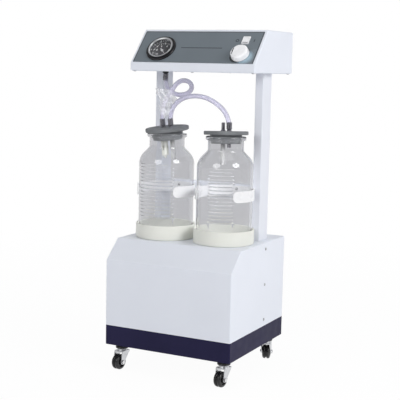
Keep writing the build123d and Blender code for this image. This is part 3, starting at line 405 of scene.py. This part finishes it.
def makeFloor():
    bm = bmesh.new()
    bmesh.ops.create_grid(bm, x_segments=1, y_segments=1, size=studio["floorHalf"])
    mesh = bpy.data.meshes.new("studioFloor")
    bm.to_mesh(mesh)
    bm.free()
    floor = bpy.data.objects.new("studioFloor", mesh)
    bpy.context.scene.collection.objects.link(floor)
    material, tree, links, shader = newMaterial("floorPaper")
    shader.inputs["Base Color"].default_value = (*studio["floorColour"], 1.0)
    shader.inputs["Roughness"].default_value = studio["floorRoughness"]
    coordinates = tree.new("ShaderNodeTexCoord").outputs["Object"]
    reach = addVectorMath(tree, links, "LENGTH", coordinates)
    share = addRange(tree, links, reach, studio["floorGlow"], 1.0, *studio["floorFade"])
    kind = "ShaderNodeEmission"
    seen = whiteToCamera(
        tree, links, shader.outputs["BSDF"], kind, share, ("Is Glossy Ray",)
    )
    mixed = shadeThroughGlass(tree, links, seen, kind)
    links.new(mixed, tree["Material Output"].inputs["Surface"])
    mesh.materials.append(material)


lamps = {
    "keyRight": {"place": (3.0, -0.9, 2.1), "aim": (0.0, 0.0, 0.45), "size": 1.8, "power": 60.0},
    "fillLeft": {"place": (-0.7, -3.2, 1.9), "aim": (0.0, 0.0, 0.45), "size": 2.0, "power": 38.0},
    "overhead": {"place": (0.2, -0.1, 3.2), "aim": (0.0, 0.0, 0.3), "size": 2.2, "power": 9.0},
}


def makeLamps():
    for name, lamp in lamps.items():
        light = bpy.data.lights.new(name, "AREA")
        light.shape = "DISK"
        light.size = lamp["size"]
        light.energy = lamp["power"]
        holder = bpy.data.objects.new(name, light)
        away = Vector(lamp["place"]) - Vector(lamp["aim"])
        holder.matrix_world = placeOf(lamp["place"], (1, 0, 0), away)
        bpy.context.scene.collection.objects.link(holder)


def makeCamera():
    camera = bpy.data.cameras.new("camera")
    camera.sensor_width = studio["sensor"]
    camera.lens = studio["sensor"] * studio["focalPixels"] / studio["imagePixels"]
    camera.clip_end = studio["clipEnd"]
    holder = bpy.data.objects.new("camera", camera)
    holder.matrix_world = (
        Matrix.Translation(studio["camera"])
        @ Matrix.Rotation(radians(studio["yaw"]), 4, "Z")
        @ Matrix.Rotation(radians(90.0 - studio["pitch"]), 4, "X")
        @ Matrix.Rotation(radians(studio["roll"]), 4, "Z")
    )
    bpy.context.scene.collection.objects.link(holder)
    bpy.context.scene.camera = holder


makeSky()
makeFloor()
makeLamps()
makeCamera()
bpy.context.scene.view_settings.view_transform = "Standard"
print("studio made")

# Building helpers; corners nearer than weld become one
weld = 1e-6


def roundCorner(bm, corner, radius, segments=4):
    before, after = [edge.other_vert(corner).co - corner.co for edge in corner.link_edges]
    turn = pi - before.angle(after)
    bmesh.ops.bevel(
        bm,
        geom=[corner],
        offset=radius * tan(turn / 2),
        offset_type="OFFSET",
        segments=segments,
        profile=0.5,
        affect="VERTICES",
        material=-1,
    )


def turnedShape(outline, steps, rounds=(), closed=False):
    # spins an outline of (radius, height) points about Z, its inner corners rounded first
    bm = bmesh.new()
    corners = [bm.verts.new((radius, 0.0, height)) for radius, height in outline]
    for first, second in zip(corners, corners[1:]):
        bm.edges.new((first, second))
    if closed:
        bm.edges.new((corners[-1], corners[0]))
    for corner, radius in zip(corners[1:-1], rounds):
        roundCorner(bm, corner, radius)
    bmesh.ops.spin(
        bm,
        geom=bm.verts[:] + bm.edges[:],
        cent=(0, 0, 0),
        axis=(0, 0, 1),
        angle=2 * pi,
        steps=steps,
        use_merge=True,
    )
    bmesh.ops.remove_doubles(bm, verts=bm.verts, dist=weld)
    bmesh.ops.recalc_face_normals(bm, faces=bm.faces)
    return bm


def finishPiece(bm, name, finish, body="chassis", replaced=(), smooth=30.0):
    mesh = bpy.data.meshes.new(name)
    bm.to_mesh(mesh)
    bm.free()
    mesh.shade_smooth()
    mesh.set_sharp_from_angle(angle=radians(smooth))
    piece = bpy.data.objects.new(name, mesh)
    bpy.context.scene.collection.objects.link(piece)
    mesh.materials.append(finishes[finish])
    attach(piece, body)
    if replaced:
        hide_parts(*replaced)
    return piece


# Hoses: clear tubing near the routes of the CAD, hollow, with its own wall
tubing = {
    "outer": 0.0124,
    "wall": 0.0016,
    "port": 0.012,
    "end": 0.014,
    "straight": 0.020,
    "bevelSteps": 6,
    "routeSteps": 10,
}


def overPort(across, along):
    # the offset from a stopper's place to the axis of a fitting, that far above a hose's end
    return Vector((across * tubing["port"], 0.0, tubing["end"] + along))


def atPort(side, across, along):
    return tuple(stopperPlace(side) @ overPort(across, along))


hoses = {
    "headHose": {
        "node": "head_hose",
        "length": 0.2967,
        "route": [
            (-0.104, -0.012, 0.7745),
            (-0.104, -0.012, 0.7425),
            (-0.090, -0.007, 0.727),
            (-0.077, -0.002, 0.720),
            (-0.061, 0.0015, 0.7195),
            (-0.045, 0.002, 0.7235),
            (-0.033, 0.0005, 0.733),
            (-0.029, -0.004, 0.745),
            (-0.035, -0.010, 0.7555),
            (-0.047, -0.016, 0.7585),
            (-0.058, -0.022, 0.7545),
            (-0.066, -0.028, 0.745),
            (-0.073, -0.032, 0.732),
            (-0.081, -0.0345, 0.717),
            (-0.091, -0.035, 0.702),
            (-0.0975, -0.0352, 0.687),
            atPort("left", -1, tubing["straight"]),
            atPort("left", -1, 0.0),
        ],
    },
    "linkHose": {
        "node": "link_hose",
        "length": 0.2696,
        "route": [
            atPort("left", 1, 0.0),
            atPort("left", 1, tubing["straight"]),
            (-0.0705, -0.0350, 0.683),
            (-0.060, -0.035, 0.697),
            (-0.046, -0.0345, 0.7085),
            (-0.026, -0.034, 0.7165),
            (-0.002, -0.0335, 0.7195),
            (0.023, -0.033, 0.717),
            (0.046, -0.0325, 0.7085),
            (0.066, -0.0325, 0.696),
            (0.082, -0.0325, 0.682),
            atPort("right", 1, tubing["straight"]),
            atPort("right", 1, 0.0),
        ],
    },
}


def makeHose(name):
    hose = hoses[name]
    curve = bpy.data.curves.new(name + "Route", "CURVE")
    curve.dimensions = "3D"
    curve.resolution_u = tubing["routeSteps"]
    spline = curve.splines.new("NURBS")
    spline.points.add(len(hose["route"]) - 1)
    for point, place in zip(spline.points, hose["route"]):
        point.co = (*place, 1.0)
    spline.order_u = 3
    spline.use_endpoint_u = True
    guide = bpy.data.objects.new(name + "Route", curve)
    line = bpy.data.meshes.new_from_object(guide)
    curve.bevel_depth = tubing["outer"] / 2
    curve.bevel_resolution = tubing["bevelSteps"]
    tube = bpy.data.meshes.new_from_object(guide)
    bm = bmesh.new()
    bm.from_mesh(tube)
    bmesh.ops.remove_doubles(bm, verts=bm.verts, dist=weld)
    bmesh.ops.recalc_face_normals(bm, faces=bm.faces)
    bmesh.ops.solidify(bm, geom=bm.faces[:], thickness=tubing["wall"])
    piece = finishPiece(bm, name, "hose", replaced=(hose["node"],), smooth=60.0)
    bpy.data.objects.remove(guide)


makeHose("headHose")
makeHose("linkHose")
print("hoses made")

# Ridged grips round the hoses' ends, above the stoppers and under the head
grip = {
    "inner": 0.0063,
    "outer": 0.0072,
    "groove": 0.0066,
    "height": 0.018,
    "ridges": 4,
    # shares of a ridge's pitch at which its profile turns
    "ridge": [(0.10, "groove"), (0.25, "outer"), (0.80, "outer"), (0.95, "groove")],
    "steps": 64,
    "head": (-0.104, -0.012, 0.7565),
    "lift": 0.0003,
}


def makeGrips():
    pitch = grip["height"] / grip["ridges"]
    outline = [(grip["inner"], 0.0)]
    for index in range(grip["ridges"]):
        outline += [(grip[level], (index + share) * pitch) for share, level in grip["ridge"]]
    outline.append((grip["inner"], grip["height"]))
    outer = Matrix.Translation(overPort(-1, grip["lift"]))
    inner = Matrix.Translation(overPort(1, grip["lift"]))
    ends = {
        "gripHead": Matrix.Translation(grip["head"]),
        "gripLeftOuter": stopperPlace("left") @ outer,
        "gripLeftInner": stopperPlace("left") @ inner,
        "gripRight": stopperPlace("right") @ inner,
    }
    for name, place in ends.items():
        bm = turnedShape(outline, grip["steps"], closed=True)
        bm.transform(place)
        finishPiece(bm, name, "fitting")


makeGrips()
print("grips made")

# Film: thin clear film crumpled round the hoses, with a flap above and a tail below
film = {
    "flat": (0.085, 0.110),
    "columns": 70,
    "rows": 96,
    "thickness": 0.0002,
    "front": -0.0475,
    "bow": 0.006,
    "hem": 0.014,
    "sag": 0.006,
    "waver": 0.10,
    "fineFold": 0.12,
    "fineRise": 0.0006,
    "pleatShift": 2.0,
    # how often each noise repeats across and down the sheet, and its third coordinate
    "crease": (5.0, 6.0, 3.1),
    "pleat": (11.0, 4.0, 8.7),
    "fine": (24.0, 26.0, 1.4),
    "drop": (3.0, 3.0, 5.5),
    "bands": [
        # height, middle, half width, depth of the folds
        (0.736, -0.098, 0.019, 0.0070),
        (0.724, -0.088, 0.027, 0.0100),
        (0.708, -0.083, 0.027, 0.0110),
        (0.692, -0.088, 0.019, 0.0090),
        (0.680, -0.088, 0.017, 0.0080),
        (0.662, -0.086, 0.015, 0.0070),
    ],
}


def alongBands(share):
    # the bands' values at a share of the way down, eased from band to band
    bands = film["bands"]
    place = share * (len(bands) - 1)
    index = min(int(place), len(bands) - 2)
    ease = place - index
    return [a + (b - a) * ease for a, b in zip(bands[index], bands[index + 1])]


def filmNoise(kind, u, v, shift=0.0):
    across, down, third = film[kind]
    return noise.noise(Vector((u * across + shift, v * down, third)))


def makeFilm():
    bm = bmesh.new()
    bmesh.ops.create_grid(bm, x_segments=film["columns"], y_segments=film["rows"], size=0.5)
    for vertex in bm.verts:
        u, v = vertex.co.x, 0.5 - vertex.co.y
        height, middle, half, fold = alongBands(v)
        crease = filmNoise("crease", u, v)
        pleat = filmNoise("pleat", u, v, film["pleatShift"] * crease)
        fine = filmNoise("fine", u, v)
        sag = film["sag"] * filmNoise("drop", u, v)
        outward = (2 * u) ** 2
        depth = fold * (crease + pleat + film["fineFold"] * fine)
        vertex.co = (
            middle + 2 * half * (u + film["waver"] * pleat),
            film["front"] + depth + film["bow"] * outward,
            height + sag + film["fineRise"] * fine + film["hem"] * v * v * outward,
        )
    bmesh.ops.recalc_face_normals(bm, faces=bm.faces)
    piece = finishPiece(bm, "filmWrap", "film", replaced=("film_wrap",), smooth=80.0)
    wall = piece.modifiers.new("wall", "SOLIDIFY")
    wall.thickness = film["thickness"]


makeFilm()
print("film made")

# Jars: turned glass with moulded graduation ribs over part of the front
jar = {
    "radius": 0.073,
    "outline": [
        (0, 0),
        (0.073, 0),
        (0.073, 0.209),
        (0.0465, 0.236),
        (0.0465, 0.263),
        (0.0524, 0.263),
        (0.0524, 0.273),
        (0.043, 0.273),
        (0.043, 0.2346),
        (0.0695, 0.2076),
        (0.0695, 0.005),
        (0, 0.005),
    ],
    "rounds": [0.009, 0.036, 0.006, 0.0015, 0.003, 0.003, 0.001, 0.008, 0.0325, 0.007],
    "steps": 144,
    "ribFirst": 0.057,
    "ribPitch": 0.0092,
    "ribs": 17,
    "ribHalf": 0.0014,
    "ribProud": 0.0009,
    "ribCuts": (-1.0, -0.55, 0.0, 0.55, 1.0),
    "ribFade": 3.0,
    "wallSlack": 1e-5,
    "cutSlack": 1e-7,
    "left": {"node": "jar_left", "middle": -88.0, "half": 43.0},
    "right": {"node": "jar_right", "middle": -73.0, "half": 27.0},
}


def makeJar(side):
    bm = turnedShape(jar["outline"], jar["steps"], jar["rounds"])
    levels = [jar["ribFirst"] + index * jar["ribPitch"] for index in range(jar["ribs"])]
    for level in levels:
        for cut in jar["ribCuts"]:
            bmesh.ops.bisect_plane(
                bm,
                geom=bm.verts[:] + bm.edges[:] + bm.faces[:],
                dist=jar["cutSlack"],
                plane_co=(0, 0, level + cut * jar["ribHalf"]),
                plane_no=(0, 0, 1),
            )
    span = jar[side]
    for vertex in bm.verts:
        radius = Vector((vertex.co.x, vertex.co.y, 0)).length
        if radius < jar["radius"] - jar["wallSlack"]:
            continue
        level = min(levels, key=lambda value: abs(value - vertex.co.z))
        away = abs(vertex.co.z - level) / jar["ribHalf"]
        turn = atan2(vertex.co.y, vertex.co.x) - radians(span["middle"])
        turn = abs((turn + pi) % (2 * pi) - pi)
        ending = (radians(span["half"]) - turn) / radians(jar["ribFade"])
        if away < 1 and ending > 0:
            push = jar["ribProud"] * (1 - away * away) * min(1.0, ending)
            vertex.co.x *= 1 + push / radius
            vertex.co.y *= 1 + push / radius
    bm.transform(Matrix.Translation((jars[side]["x"], jarStand["y"], jarStand["floor"])))
    finishPiece(bm, "glassJar" + side.capitalize(), "glass", replaced=(span["node"],))


makeJar("left")
makeJar("right")
print("jars made")


def addBox(bm, place, width, length, thick):
    box = bmesh.ops.create_cube(bm, size=1.0)["verts"]
    bmesh.ops.scale(bm, vec=(width, length, thick), verts=box)
    bmesh.ops.transform(bm, matrix=place, verts=box)


def addText(bm, body, size, place, thick, heavy=0.0):
    curve = bpy.data.curves.new("lettering", "FONT")
    curve.body = body
    curve.size = size
    curve.align_x = "CENTER"
    curve.align_y = "CENTER"
    curve.extrude = thick / 2
    curve.offset = heavy
    holder = bpy.data.objects.new("lettering", curve)
    mesh = bpy.data.meshes.new_from_object(holder)
    mesh.transform(place)
    bm.from_mesh(mesh)
    bpy.data.objects.remove(holder)


# Gauge print: a ring of marks with plain numbers, on the dial face
gauge = {
    "face": -0.0069,
    "zero": -45.0,
    "sweep": 270.0,
    "marks": 30,
    "longEvery": 3,
    "numbers": ["0", "2", "4", "6", "8", "10"],
    "numberRadius": 0.0175,
    "numberSize": 0.0078,
    "markOuter": 0.0284,
    # length and width of a mark
    "markLong": (0.0054, 0.0011),
    "markShort": (0.0034, 0.0005),
    "thick": 0.00008,
}


def makeGaugePrint():
    bm = bmesh.new()
    centre = onSlope(*gaugePlace, gauge["face"])
    for index in range(gauge["marks"] + 1):
        angle = radians(gauge["zero"] + gauge["sweep"] * index / gauge["marks"])
        kind = "markShort" if index % gauge["longEvery"] else "markLong"
        length, width = gauge[kind]
        reach = gauge["markOuter"] - length / 2
        place = centre @ Matrix.Rotation(angle, 4, "Z") @ Matrix.Translation((reach, 0, 0))
        addBox(bm, place, length, width, gauge["thick"])
    steps = len(gauge["numbers"]) - 1
    for index, number in enumerate(gauge["numbers"]):
        angle = radians(gauge["zero"] + gauge["sweep"] * index / steps)
        radius = gauge["numberRadius"]
        place = centre @ Matrix.Translation((radius * cos(angle), radius * sin(angle), 0))
        addText(bm, number, gauge["numberSize"], place, gauge["thick"])
    finishPiece(bm, "gaugePrint", "print_white")


makeGaugePrint()
print("gauge print made")

# Print and painted shade on the sloped face: edge lines, the top one painted shade of a groove, a
# rule, the switch's marks, the knob's glow and a crescent of painted shadow below and left of the
# knob
facePrintAndShade = {
    "level": 0.00104,
    "thick": 0.00008,
    "half": 0.172,
    "low": 0.002,
    "high": 0.1105,
    "line": 0.0016,
    "steps": 48,
    "rule": {"across": 0.012, "up": 0.053, "length": 0.118, "width": 0.0020},
    "marks": {"O": (0.105, 0.079), "I": (0.152, 0.079)},
    "markSize": 0.0120,
    "markHeavy": 0.0004,
    "glow": {"from": -100.0, "to": 32.0, "inner": 0.0232, "outer": 0.043, "lift": 0.0},
    # painted shadow that the knob casts on the sloped face, below and left of it
    "crescent": {
        "from": 150.0,
        "to": 280.0,
        "inner": 0.0232,
        "width": 0.0060,
        "tip": 0.0002,
        "lift": 0.00005,
    },
}


def makeFacePrintAndShade():
    bm = bmesh.new()
    level, thick, line = facePrintAndShade["level"], facePrintAndShade["thick"], facePrintAndShade["line"]
    middle = (facePrintAndShade["low"] + facePrintAndShade["high"]) / 2
    tall = facePrintAndShade["high"] - facePrintAndShade["low"]
    inset = facePrintAndShade["half"] - line
    for across in (-inset, inset):
        addBox(bm, onSlope(across, middle, level), line, tall - line, thick)
    # the line along the top edge is painted shade of the groove there
    addBox(bm, onSlope(0, facePrintAndShade["high"] - line, level), 2 * inset, line, thick)
    rule = facePrintAndShade["rule"]
    place = onSlope(rule["across"], rule["up"], level)
    addBox(bm, place, rule["length"], rule["width"], thick)
    for mark, (across, up) in facePrintAndShade["marks"].items():
        place = onSlope(across, up, level)
        addText(bm, mark, facePrintAndShade["markSize"], place, thick, facePrintAndShade["markHeavy"])
    finishPiece(bm, "facePrintAndShade", "print_dark")


def sectorWidth(sector, angle, share):
    # the crescent of painted shadow is widest in its middle
    if "width" in sector:
        return sector["width"] * sin(pi * share) + sector["tip"]
    # the glow is as wide as the sloped face allows below and beside the knob
    across, up = knobPlace
    edges = [sector["outer"]]
    if sin(angle) < 0:
        edges.append((up - facePrintAndShade["low"]) / -sin(angle))
    if cos(angle) > 0:
        edges.append((facePrintAndShade["half"] - 2 * facePrintAndShade["line"] - across) / cos(angle))
    return min(edges) - sector["inner"]


def makeKnobSector(name, sector, finish):
    # a strip bent into a sector of a ring
    bm = bmesh.new()
    bmesh.ops.create_grid(bm, x_segments=1, y_segments=facePrintAndShade["steps"], size=0.5)
    for vertex in bm.verts:
        share = vertex.co.y + 0.5
        angle = radians(sector["from"] + (sector["to"] - sector["from"]) * share)
        radius = sector["inner"] + sectorWidth(sector, angle, share) * (vertex.co.x + 0.5)
        vertex.co = (radius * cos(angle), radius * sin(angle), 0)
    bmesh.ops.solidify(bm, geom=bm.faces[:], thickness=facePrintAndShade["thick"])
    bm.transform(onSlope(*knobPlace, facePrintAndShade["level"] + sector["lift"]))
    bmesh.ops.recalc_face_normals(bm, faces=bm.faces)
    finishPiece(bm, name, finish)


makeFacePrintAndShade()
makeKnobSector("knobGlow", facePrintAndShade["glow"], "print_glow")
# the dark crescent is the knob's painted shadow, not print
makeKnobSector("knobPaintedShadow", facePrintAndShade["crescent"], "print_dark")
print("face print made")

# Dark pointer line that follows the knob's dome, whose face falls away beyond its crown
pointer = {
    "offset": -0.0165,
    "length": 0.0215,
    "width": 0.0032,
    "proud": 0.0001,
    "columns": 2,
    "rows": 24,
    # radius and height of the dome's middle, crown and edge
    "dome": [(0.0, 0.0175), (0.018, 0.0169), (0.0228, 0.0140)],
}


def domeHeight(reach):
    middle, crown, edge = pointer["dome"]
    near, far = (middle, crown) if reach < crown[0] else (crown, edge)
    share = (reach - near[0]) / (far[0] - near[0])
    return near[1] + (far[1] - near[1]) * share


def makePointer():
    bm = bmesh.new()
    bmesh.ops.create_grid(
        bm, x_segments=pointer["columns"], y_segments=pointer["rows"], size=0.5
    )
    for vertex in bm.verts:
        x = pointer["offset"] + pointer["width"] * vertex.co.x
        y = pointer["length"] * vertex.co.y
        vertex.co = (x, y, domeHeight(Vector((x, y, 0)).length) + pointer["proud"])
    bmesh.ops.solidify(bm, geom=bm.faces[:], thickness=2 * pointer["proud"])
    bmesh.ops.recalc_face_normals(bm, faces=bm.faces)
    bm.transform(onSlope(*knobPlace))
    finishPiece(bm, "knobPointer", "print_dark", body="regulator_knob")


makePointer()
print("pointer made")
